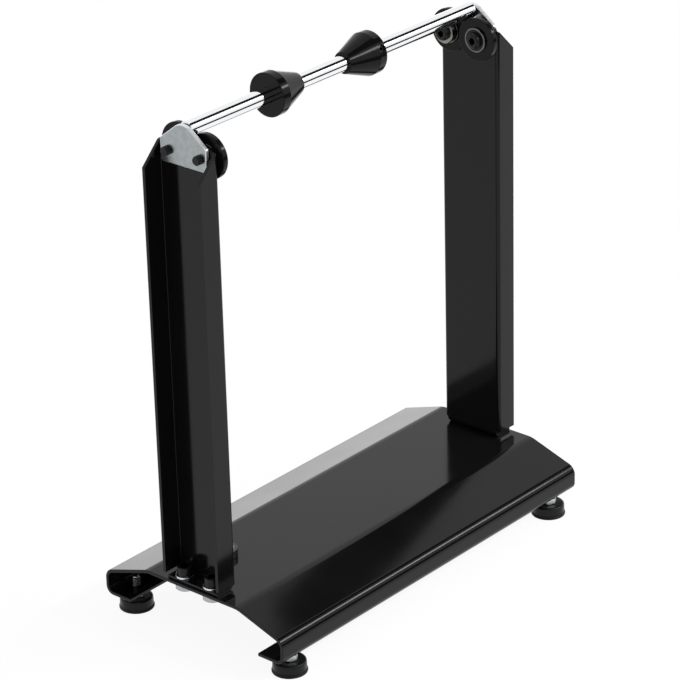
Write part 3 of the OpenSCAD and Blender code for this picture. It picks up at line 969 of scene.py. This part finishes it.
@dataclass(frozen=True)
class Upright:
    """A folded upright: a channel that opens towards its end of the base, on a foot tab."""

    end: End
    tabs: TabFasteners
    sheet: float = 3 * MM
    bend: float = 2 * MM
    tab_bend: float = 3.5 * MM
    lift: float = 2.7 * MM
    tab_setback: float = 2 * MM
    flat_top: float = 22.5 * MM
    corner_run: float = 10 * MM
    flange_fall: float = 19 * MM
    flange_drop: float = 5 * MM
    edge: float = 0.45 * MM
    bend_steps: int = 8
    hole: float = 4.4 * MM
    hole_length: float = 10 * MM

    def top_at(self, y: float, x: float, box: Extent, flat: float) -> float:
        """Work out how high the sheet's cut top lies.

        Args:
            y: Place across the web.
            x: Place along the stand.
            box: Room of the rear upright.
            flat: Half the width of the web's flat.

        Returns:
            The height of the top there.
        """
        if abs(y) <= flat + WELD:
            return box.high.z - max(0.0, abs(y) - self.flat_top) * self.flange_drop / self.corner_run
        z_web = box.high.z - self.flange_drop
        web_out = box.low.x + self.sheet
        return z_web - (x - web_out) * self.flange_fall / (box.high.x - web_out)

    def channel(self, box: Extent) -> Shape:
        """Fold the web and its flanges, and cut their tops.

        Args:
            box: Room of the rear upright.

        Returns:
            The middle face of the channel.
        """
        half = self.sheet / 2
        mid_x, mid_y = box.low.x + half, box.high.y - half
        low = box.low.z + self.sheet + self.lift
        right = [(box.high.x, -mid_y), (mid_x, -mid_y), (mid_x, -self.flat_top)]
        plan = right + [(x, -y) for x, y in right[::-1]]
        bends = {1: self.bend, 4: self.bend}
        channel = Shape.line([Vector((x, y, low)) for x, y in plan], bends, self.bend_steps)
        channel.extruded(Vector((0, 0, box.high.z - low)))
        flat = mid_y - self.bend
        for vert in channel.bm.verts:
            if vert.co.z > low + WELD:
                vert.co.z = self.top_at(vert.co.y, vert.co.x, box, flat)
        return channel

    def add_tab(self, channel: Shape, box: Extent) -> Shape:
        """Fold the foot tab out of the web's lower edge.

        Args:
            channel: Middle face of the channel.
            box: Room of the rear upright.

        Returns:
            The middle face of the whole upright.
        """
        half = self.sheet / 2
        flat = box.high.y - half - self.bend
        low = box.low.z + self.sheet + self.lift
        bend_top = box.low.z + half + self.tab_bend
        bm = channel.bm

        def pull(edges: list[bmesh.types.BMEdge], way: Vector) -> list[bmesh.types.BMEdge]:
            """Extrude edges along a vector.

            Args:
                edges: The edges.
                way: The vector.

            Returns:
                The new edges.
            """
            made = bmesh.ops.extrude_edge_only(bm, edges=edges)["geom"]
            bmesh.ops.translate(bm, verts=only(bmesh.types.BMVert, made), vec=way)
            return only(bmesh.types.BMEdge, made)

        foot = [edge for edge in bm.edges
                if all(abs(v.co.z - low) < WELD and abs(v.co.y) < flat + WELD for v in edge.verts)]
        foot = pull(foot, Vector((0, 0, bend_top - low)))
        centre = Vector((box.low.x + half + self.tab_bend, 0, bend_top))
        spun = bmesh.ops.spin(
            bm, geom=foot, cent=centre, axis=(0, -1, 0), dvec=(0, 0, 0), angle=QUARTER,
            steps=self.bend_steps)
        foot = only(bmesh.types.BMEdge, spun["geom_last"])
        pull(foot, Vector((box.high.x - self.tab_setback - centre.x, 0, 0)))
        return channel.weld()

    def holes(self) -> Iterator[Shape]:
        """Make the cutters for the holes.

        Yields:
            A cutter for each screw that passes this upright, or the other one's foot tab.
        """
        for place in self.tabs.places():
            yield bore(self.tabs.hole, self.hole_length).placed(Matrix.Translation(place))
        along = Matrix.Rotation(QUARTER, 4, "Y")
        for pair in Pair:
            screw = Extent.of(f"{self.end.word}_{pair.value}_axle_screw").centre
            screw.x = Extent.of(f"{self.end.word}_head_plate").centre.x
            yield bore(self.hole, self.hole_length).placed(Matrix.Translation(screw) @ along)

    def build(self) -> None:
        """Build and dress the upright."""
        box = Extent.of("rear_upright")
        sheet = self.add_tab(self.channel(box), box).thickened(self.sheet)
        sheet = bevelled(sheet, self.edge).placed(self.end.turn)
        node = f"{self.end.word}_upright"
        show(sheet.carved(*self.holes()), f"{node}_sheet", "frame", PAINT, node)


@dataclass(frozen=True)
class HeadPlate:
    """The tumbled zinc plate that backs an upright's web and takes the axle screws.

    Attributes:
        rim_from: Cosine of the angle with X past which a face belongs to the rim, which takes a painted
            highlight.
    """

    end: End
    thread: Thread
    side: float = 20 * MM
    peak: float = 39.4 * MM
    peak_round: float = 13 * MM
    corner_round: float = 2.5 * MM
    arris: float = 1.1 * MM
    rim_from: float = 0.93
    corner_steps: int = 10
    arris_steps: int = 4
    hole_length: float = 20 * MM

    def build(self) -> None:
        """Build and dress the plate."""
        node = f"{self.end.word}_head_plate"
        box = Extent.of(node)
        x, y, z = box.low.x, box.high.y, box.low.z
        outline = [Vector((x, *point)) for point in (
            (y, z), (y, z + self.side), (0, z + self.peak), (-y, z + self.side), (-y, z))]
        rounds = {number: self.corner_round for number in (0, 1, 3, 4)} | {2: self.peak_round}
        plate = Shape.line(outline, rounds, self.corner_steps, closed=True).filled()
        plate = bevelled(plate.extruded(Vector((box.size.x, 0, 0))), self.arris, self.arris_steps)
        along = Matrix.Rotation(QUARTER, 4, "Y")
        cutters = []
        for pair in Pair:
            centre = Extent.of(f"{self.end.word}_{pair.value}_axle_screw").centre
            centre.x = box.centre.x
            hole = bore(self.thread.hole, self.hole_length)
            cutters.append(hole.placed(Matrix.Translation(centre) @ along))
        shown = show(plate.carved(*cutters), f"{node}_tumbled", "frame", PLATE_ZINC, node)
        # Faces of the rounded arris take the brighter zinc: a painted highlight along the plate's rim
        refinish(shown, PLATE_RIM_HIGHLIGHT, lambda face: abs(face.normal.x) < self.rim_from)


@dataclass(frozen=True)
class RollerStation:
    """A roller on its ball bearing, with the screw that is its axle."""

    end: End
    pair: Pair
    thread: Thread
    rim: float = 0.8 * MM
    bore_edge: float = 0.8 * MM / 3
    head_height: float = 4 * MM
    head_flat: float = 4.8 * MM
    head_steps: int = 6
    key: float = 5 * MM
    key_depth: float = 2.4 * MM
    mouth: float = 0.5 * MM
    chamfer: float = 0.25 * MM
    crease: float = 38.0

    @property
    def name(self) -> str:
        """Start of the station's node names."""
        return f"{self.end.word}_{self.pair.value}"

    def axis_at(self, node: str) -> Matrix:
        """Return the place of a node's middle, with Z along the axle towards the stand's end."""
        return Matrix.Translation(Extent.of(node).centre) @ self.end.turn @ Matrix.Rotation(QUARTER, 4, "Y")

    def roller(self) -> Shape:
        """Turn the plastic roller round its bearing.

        Returns:
            The roller, with its axis along Z.
        """
        size = Extent.of(f"{self.name}_roller").size
        race = Extent.of(f"{self.name}_outer_race").size.z / 2 + self.thread.clearance / 2
        r, half = size.z / 2, size.x / 2
        corners = [(race, -half), (r, -half), (r, half), (race, half)]
        rounds = {1: self.rim, 2: self.rim, 0: self.bore_edge, 3: self.bore_edge}
        return Shape.turned(corners, rounds, closed=True)

    def axle(self) -> Shape:
        """Build the axle screw with its low head, socket and threaded end.

        Returns:
            The screw, with its head down the Z axis.
        """
        size = Extent.of(f"{self.name}_axle_screw").size
        start, stop = -size.x / 2, size.x / 2
        r, key = size.z / 2, self.key / 2
        seat = start + self.head_height
        bulge = r - self.head_flat
        turns = [QUARTER * step / self.head_steps for step in range(1, self.head_steps + 1)]
        arc = [Ring(self.head_flat + bulge * math.sin(turn), start + bulge * (1 - math.cos(turn)))
               for turn in turns]
        plate = Extent.of(f"{self.end.word}_head_plate")
        plain = self.end.value * (plate.centre.x - Extent.of(f"{self.name}_axle_screw").centre.x)
        rings = [
            Ring(key, start + self.key_depth, Form.HEXAGON),
            Ring(key, start + self.chamfer, Form.HEXAGON),
            Ring(key + self.mouth, start),
            Ring(self.head_flat, start),
            *arc,
            Ring(r, seat - self.chamfer),
            Ring(r - self.chamfer, seat),
            Ring(self.thread.radius, seat),
            Ring(self.thread.radius, plain)]
        return Shape.lofted(rings, SEGMENTS).joined(self.thread.wound(plain, stop))

    def build(self) -> None:
        """Build and dress the station."""
        for shape, node, suffix, body, finish in (
                (self.roller(), "roller", "disc", f"{self.name}_roller", ROLLER_BLACK),
                (self.axle(), "axle_screw", "button", "frame", BLACK_OXIDE)):
            packed = f"{self.name}_{node}"
            show(shape.placed(self.axis_at(packed)), f"{packed}_{suffix}", body, finish, packed,
                 crease=self.crease)


@dataclass(frozen=True)
class Spindle:
    """The shaft with its two centring cones."""

    chamfer: float = 1 * MM
    edge: float = 0.3 * MM
    band: float = 8.3 * MM
    tip_radius: float = 9.4 * MM
    bore: float = 7.04 * MM
    grub_hole: float = 3.05 * MM
    countersink: float = 0.7 * MM

    def shaft(self) -> Shape:
        """Turn the shaft with its chamfered ends.

        Returns:
            The shaft in place.
        """
        box = Extent.of("shaft")
        r, half, c = box.size.z / 2, box.size.x / 2, self.chamfer
        profile = [
            (0, -half), (r - c, -half), (r, c - half), (r, half - c), (r - c, half), (0, half)]
        rounds = {number: self.edge for number in (1, 2, 3, 4)}
        return Shape.turned(profile, rounds).placed(
            Matrix.Translation(box.centre) @ Matrix.Rotation(QUARTER, 4, "Y"))

    def cone(self, end: End) -> Shape:
        """Turn a cone, large end first, and drill its grub screw's hole.

        Args:
            end: End of the stand that the cone's large face looks at.

        Returns:
            The cone in place.
        """
        box = Extent.of(f"{end.word}_cone")
        r, half = box.size.z / 2, box.size.x / 2
        profile = [
            (self.bore, half), (r, half), (r, half - self.band), (self.tip_radius, -half),
            (self.bore, -half)]
        rounds = {0: self.edge, 1: 2 * self.edge, 2: 2 * self.edge, 3: 2 * self.edge, 4: self.edge}
        cone = Shape.turned(profile, rounds, closed=True).placed(
            Matrix.Translation(box.centre) @ end.turn @ Matrix.Rotation(QUARTER, 4, "Y"))
        grub = Extent.of(f"{end.word}_grub_screw").centre
        axis = Vector((grub.x, box.centre.y, box.centre.z))
        hole = rod([
            (self.grub_hole, 0), (self.grub_hole, r - self.countersink),
            (self.grub_hole + 2 * self.countersink, r + self.countersink), (self.grub_hole, 2 * r)])
        aim = (grub - axis).to_track_quat("Z", "X").to_matrix().to_4x4()
        return cone.carved(hole.placed(Matrix.Translation(axis) @ aim))

    def build(self) -> None:
        """Build and dress the shaft and the cones."""
        show(self.shaft(), "spindle_bar", "shaft", CHROME, "shaft")
        for end in End:
            name = f"{end.word}_cone"
            show(self.cone(end), f"{name}_turned", name, CONE_BLACK, name, crease=TURNED_CREASE)


@dataclass(frozen=True)
class Foot:
    """A levelling foot: a moulded pad on a threaded stud with a hexagon."""

    end: End
    side: Side
    thread: Thread
    body_radius: float = 14.7 * MM
    lip: float = 1.6 * MM
    lip_slope: float = 0.5 * MM
    lip_round: float = 0.5 * MM
    groove: float = 0.35 * MM
    groove_low: float = 1.2 * MM
    groove_high: float = 2 * MM
    groove_flank: float = 0.2 * MM
    draft: float = 0.3 * MM
    mouth: float = 0.6 * MM
    top_round: float = 2 * MM
    floor: float = 3 * MM
    hex_flats: float = 13 * MM
    hex_height: float = 5.75 * MM
    gap: float = 0.25 * MM
    hex_face: float = 5.9 * MM
    hex_slope: float = math.tan(math.radians(30))
    core_inset: float = 0.7 * MM
    dome_share: float = 0.8
    dome_steps: int = 8

    @property
    def name(self) -> str:
        """Start of the foot's node names."""
        return f"{self.end.word}_{self.side.word}"

    def pad(self, radius: float, height: float) -> Shape:
        """Turn the moulded pad.

        Args:
            radius: Radius of its lip.
            height: Height of the pad.

        Returns:
            The pad, standing on the origin.
        """
        r, g, lip, hole = self.body_radius, self.groove, self.lip, self.thread.hole
        low, high = lip + self.groove_low, lip + self.groove_high
        profile = [
            (0, 0), (radius, 0), (radius, lip), (r, lip + self.lip_slope),
            (r, low), (r - g, low + self.groove_flank), (r - g, high - self.groove_flank), (r, high),
            (r - self.draft, height), (hole + self.mouth, height), (hole, height - self.mouth),
            (hole, self.floor), (0, self.floor)]
        return Shape.turned(profile, {1: self.lip_round, 2: self.lip_round, 8: self.top_round})

    def crown(self, pad_top: float) -> float:
        """Return the height of the hexagon's top above a pad of that height."""
        return pad_top + self.gap + self.hex_height

    def stud(self, low: float, high: float, pad_top: float) -> Shape:
        """Build the stud with its hexagon, thread and domed end.

        Args:
            low: Height of the stud's lower end, inside the pad.
            high: Height of its domed end.
            pad_top: Height of the pad.

        Returns:
            The stud on the Z axis.
        """
        seat, crown = pad_top + self.gap, self.crown(pad_top)
        r, flats = self.thread.radius, self.hex_flats / 2
        rim = (flats - self.hex_face) * self.hex_slope
        hexagon = Shape.lofted([
            Ring(r, low),
            Ring(r, seat),
            Ring(self.hex_face, seat),
            Ring(flats, seat + rim, Form.HEXAGON, self.hex_slope),
            Ring(flats, crown - rim, Form.HEXAGON, -self.hex_slope),
            Ring(self.hex_face, crown),
            Ring(r - self.core_inset, crown)])
        shoulder = high - r / 2
        turns = [QUARTER * step / self.dome_steps for step in range(self.dome_steps)]
        dome = rod([(r * self.dome_share * math.cos(turn), shoulder + r / 2 * math.sin(turn))
                    for turn in turns])
        return hexagon.joined(self.thread.wound(crown, shoulder), dome)

    def build(self) -> None:
        """Build and dress the foot."""
        name = self.name
        pad, stud = Extent.of(f"{name}_foot_pad"), Extent.of(f"{name}_foot_stud")
        place = Matrix.Translation((pad.centre.x, pad.centre.y, 0))
        cup = self.pad(pad.size.x / 2, pad.high.z).placed(place)
        show(cup, f"{name}_foot_cup", f"{name}_foot", FOOT_BLACK, f"{name}_foot_pad",
             crease=TURNED_CREASE)
        shape = self.stud(stud.low.z, stud.high.z, pad.high.z).placed(place)
        # The hexagon takes the brighter zinc: painted light against the shade under the base
        jack = show(shape, f"{name}_foot_jack", f"{name}_stud", HEXAGON_ZINC_PAINTED_LIGHT, f"{name}_foot_stud",
                    crease=FASTENER_CREASE)
        crown = self.crown(pad.high.z)
        refinish(jack, THREAD_ZINC, lambda face: face.center.z > crown)


@dataclass(frozen=True)
class Level:
    """The round spirit level on the base."""

    wall: float = 2.4 * MM
    floor: float = 1 * MM
    edge: float = 0.5 * MM
    gap: float = 0.05 * MM
    bubble: float = 1.9 * MM
    bubble_height: float = 0.9 * MM
    ring: float = 2.9 * MM
    ring_line: float = 0.35 * MM
    dome_steps: int = 10
    bubble_steps: int = 8
    glass_crease: float = 60.0

    def build(self) -> None:
        """Build and dress the housing, the vial, its bubble and its ring."""
        body, vial = Extent.of("level_housing"), Extent.of("level_vial")
        r, h = body.size.x / 2, body.size.z
        place = Matrix.Translation((body.centre.x, body.centre.y, body.low.z))
        inner = r - self.wall
        housing = Shape.turned(
            [(0, 0), (r, 0), (r, h), (inner, h), (inner, self.floor), (0, self.floor)],
            {1: self.edge, 2: self.edge, 3: self.edge / 2})
        show(housing.placed(place), "level_body", "frame", LEVEL_BLACK, "level_housing",
             crease=TURNED_CREASE)
        dome = vial.high.z - body.high.z
        glass = inner - self.gap
        turns = [QUARTER * step / self.dome_steps for step in range(self.dome_steps, -1, -1)]
        profile = [(0, self.floor), (glass, self.floor)]
        profile += [(glass * math.sin(turn), h + dome * math.cos(turn)) for turn in turns]
        show(Shape.turned(profile).placed(place), "level_dome", "frame", LEVEL_VIAL, "level_vial",
             crease=self.glass_crease)
        self.marks(place, h, glass, dome)

    def marks(self, place: Matrix, rim: float, glass: float, dome: float) -> None:
        """Build the ring on the vial and the bubble inside it.

        Args:
            place: Place of the level.
            rim: Height of the housing's rim.
            glass: Radius of the vial.
            dome: Height of the vial's dome.
        """
        line, low, top = self.ring_line / 2, -self.bubble_height, rim + dome
        z = rim + dome * math.sqrt(1 - (self.ring / glass) ** 2)
        corners = ((-1, -1), (1, -1), (1, 1), (-1, 1))
        square = [(self.ring + across * line, z + up * line) for across, up in corners]
        show(Shape.turned(square, closed=True).placed(place), "level_ring", "frame", LEVEL_BLACK)
        turns = [QUARTER * step / self.bubble_steps for step in range(self.bubble_steps + 1)]
        lens = [(self.bubble * math.sin(turn), top + low * (1 + math.cos(turn)) / 2)
                for turn in turns]
        flat = [(self.bubble * math.cos(turn), top + low / 2 + self.ring_line * math.sin(turn))
                for turn in turns[1:]]
        show(Shape.turned(lens + flat).placed(place), "level_bubble", "frame", LEVEL_BUBBLE)


def grey(value: float) -> tuple[float, float, float, float]:
    """Return a grey of that brightness, with its alpha."""
    return value, value, value, 1.0


def rectangle(name: str, place: Matrix, material: bpy.types.Material) -> bpy.types.Object:
    """Put a flat rectangle in the scene.

    Args:
        name: Name of the rectangle.
        place: Place, turn and lengths that a square of side 1 takes.
        material: Its material.

    Returns:
        The new object.
    """
    shape = Shape()
    bmesh.ops.create_grid(shape.bm, x_segments=1, y_segments=1, size=0.5)
    mesh = meshed(shape.placed(place), name)
    mesh.materials.append(material)
    return set_down(name, mesh)


@dataclass(frozen=True)
class Strip:
    """A lamp or a dark card that hangs along the shaft.

    Attributes:
        name: Name of the strip.
        angle: Where it hangs round the shaft, in degrees from +Y towards +Z.
        distance: Distance from the shaft.
        width: Width across the shaft's direction.
        reach: Least and greatest X.
        radiance: Brightness of a lamp, where 1 is white. A card has none.
        card_albedo: Share of the light that a card throws back.
    """

    name: str
    angle: float
    distance: float
    width: float
    reach: tuple[float, float]
    radiance: float | None = None
    card_albedo: float = 0.01

    def turned_to(self, axis: Vector) -> Matrix:
        """Work out where the strip hangs.

        Args:
            axis: A point on the shaft's axis.

        Returns:
            The strip's place and its turn towards the axis.
        """
        angle = math.radians(self.angle)
        way = Vector((0, math.cos(angle), math.sin(angle)))
        middle = Vector((sum(self.reach) / 2, axis.y, axis.z))
        return Matrix.Translation(middle + self.distance * way) @ Matrix.Rotation(angle - QUARTER, 4, "X")

    def build(self, axis: Vector) -> None:
        """Hang the strip so that it looks at the shaft.

        Args:
            axis: A point on the shaft's axis.
        """
        length = self.reach[1] - self.reach[0]
        if self.radiance is None:
            self._hang_card(length, self.turned_to(axis))
        else:
            self._hang_lamp(length, self.turned_to(axis), self.radiance)

    def _hang_lamp(self, length: float, turn: Matrix, radiance: float) -> None:
        """Hang a lamp.

        Args:
            length: Length along the shaft.
            turn: Place and turn of the lamp.
            radiance: Its brightness, where 1 is white.
        """
        lamp = bpy.data.lights.new(self.name, "AREA")
        lamp.shape = "RECTANGLE"
        lamp.size, lamp.size_y = length, self.width
        lamp.energy = radiance * math.pi * length * self.width
        obj = set_down(self.name, lamp)
        obj.matrix_world = turn
        obj.visible_camera = False

    def _hang_card(self, length: float, turn: Matrix) -> None:
        """Hang a dark card, which only reflections show.

        Args:
            length: Length along the shaft.
            turn: Place and turn of the card.
        """
        material, wiring = new_material(self.name)
        matt = wiring.add("BsdfDiffuse", {"Color": grey(self.card_albedo)})
        wiring.add("OutputMaterial", {"Surface": matt.outputs[0]})
        card = rectangle(self.name, turn @ Matrix.Diagonal((length, self.width, 1, 1)), material)
        card.visible_camera = card.visible_diffuse = False
        card.visible_transmission = card.visible_shadow = False
        card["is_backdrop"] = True


@dataclass(frozen=True)
class Studio:
    """The pale floor, the soft light and the camera.

    Attributes:
        floor_size: Length of the floor's sides.
        floor_albedo: Share of the light that the floor throws back.
        glow: Share of plain white in what the camera and reflections see of the floor.
        glow_strength: Brightness of that white.
        sky: Strength of the soft light from all round.
        azimuth: Direction of the camera round the stand, in degrees.
        elevation: Angle of the camera over the floor, in degrees.
        distance: Distance of the camera from its target.
        roll: Turn of the picture, in degrees.
        target: Point in the middle of the picture.
        focal_pixels: Focal length in pixels of the picture.
        image_pixels: Width of the picture in pixels.
        sensor: Width of the camera's sensor in millimetres.
        strips: The lamps and cards along the shaft.
    """

    floor_size: float = 30.0
    floor_albedo: float = 0.9
    glow: float = 0.86
    glow_strength: float = 1.07
    sky: float = 0.45
    azimuth: float = 48.838
    elevation: float = 24.769
    distance: float = 2.780582
    roll: float = -1.512
    target: tuple[float, float, float] = (-0.002462, 0.0, 0.213618)
    focal_pixels: float = 3240.927
    image_pixels: float = 680.0
    sensor: float = 36.0
    strips: tuple[Strip, ...] = (
        Strip("key_strip", 146.0, 1.8, 0.3, (0.0, 2.2), 13.0),
        Strip("far_strip", -6.0, 2.0, 0.5, (0.8, 3.0), 1.25),
        Strip("upper_card", 113.0, 1.2, 0.66, (-2.5, 2.5)),
        Strip("front_card", 199.0, 1.2, 0.7, (-2.5, 2.5)),
    )

    @staticmethod
    def _seen(wiring: Wiring) -> bpy.types.NodeSocket:
        """Tell the camera's, glossy and transmission rays from the others.

        Args:
            wiring: Wiring of the world or of a material.

        Returns:
            1 for the rays that show the background, 0 for the others.
        """
        path = wiring.add("LightPath").outputs
        shiny = wiring.math("MAXIMUM", path["Is Glossy Ray"], path["Is Transmission Ray"])
        return wiring.math("MAXIMUM", path["Is Camera Ray"], shiny)

    def sky_light(self) -> None:
        """Give the world a white background and plain soft light."""
        world = bpy.data.worlds.new("studio")
        bpy.context.scene.world = world
        world.use_nodes = True
        wiring = Wiring(world.node_tree)
        seen = self._seen(wiring)
        light = wiring.add("Background", {"Color": WHITE, "Strength": self.sky})
        white = wiring.add("Background", {"Color": WHITE, "Strength": 1.0})
        mix = wiring.add("MixShader", {0: seen, 1: light.outputs[0], 2: white.outputs[0]})
        wiring.add("OutputWorld", {"Surface": mix.outputs[0]})

    def floor(self) -> None:
        """Lay the pale floor, which keeps the stand's soft shadow."""
        material, wiring = new_material("studio_floor")
        share = wiring.math("MULTIPLY", self._seen(wiring), self.glow)
        matt = wiring.add("BsdfDiffuse", {"Color": grey(self.floor_albedo)})
        glow = wiring.add("Emission", {"Color": WHITE, "Strength": self.glow_strength})
        mix = wiring.add("MixShader", {0: share, 1: matt.outputs[0], 2: glow.outputs[0]})
        wiring.add("OutputMaterial", {"Surface": mix.outputs[0]})
        floor = rectangle("studio_floor", Matrix.Diagonal((self.floor_size, self.floor_size, 1, 1)), material)
        floor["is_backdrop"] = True

    def camera(self) -> None:
        """Set the camera at the photograph's viewing angle."""
        data = bpy.data.cameras.new("camera")
        data.sensor_width = self.sensor
        data.lens = self.focal_pixels / self.image_pixels * self.sensor
        obj = set_down("camera", data)
        a, e = math.radians(self.azimuth), math.radians(self.elevation)
        back = Vector((-math.sin(a) * math.cos(e), -math.cos(a) * math.cos(e), math.sin(e)))
        level = (-back).cross(Vector((0, 0, 1))).normalized()
        right = Matrix.Rotation(math.radians(self.roll), 3, back) @ level
        up = back.cross(right)
        turn = Matrix((right, up, back)).transposed().to_4x4()
        obj.matrix_world = Matrix.Translation(Vector(self.target) + back * self.distance) @ turn
        bpy.context.scene.camera = obj

    def build(self) -> None:
        """Build the whole studio."""
        self.sky_light()
        self.floor()
        for strip in self.strips:
            strip.build(Extent.of("shaft").centre)
        self.camera()
        bpy.context.scene.view_settings.view_transform = "Standard"


def dress_packed_nodes() -> None:
    """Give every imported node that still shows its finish."""
    slots = {part["node"]: part["material_slot"] for part in frame["record"]["subparts"]}
    for node, obj in frame["nodes"].items():
        if obj.hide_render:
            continue
        # The spacers take the darker, warmer zinc: painted shade of the gap beside the rollers
        finish = SPACER_ZINC_PAINTED_SHADE if node.endswith("spacer") else FINISHES[slots[node]]
        obj.data.materials.clear()
        obj.data.materials.append(finish.material())
        LOG.info("%s: packed node in %s", node, slots[node])


class Part(Protocol):
    """A sub-assembly of the stand."""

    def build(self) -> None:
        """Build and dress the sub-assembly's pieces."""


def main() -> None:
    """Build the stand's sub-assemblies in order, then the studio."""
    logging.basicConfig(level=logging.INFO, format="%(name)s %(message)s")
    thread = Thread()
    tabs = TabFasteners(thread)
    parts: list[Part] = [Base(tabs, thread), tabs, Spindle(), Level()]
    for end in End:
        parts += [Upright(end, tabs), HeadPlate(end, thread)]
        parts += [RollerStation(end, pair, thread) for pair in Pair]
        parts += [Foot(end, side, thread) for side in Side]
    for part in parts:
        part.build()
    dress_packed_nodes()
    Studio().build()
    boxes = {"cad": CAD_BOX, "visual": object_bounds()}
    {name: [list(corner) for corner in box] for name, box in boxes.items()}


if __name__ == "__main__":
    main()
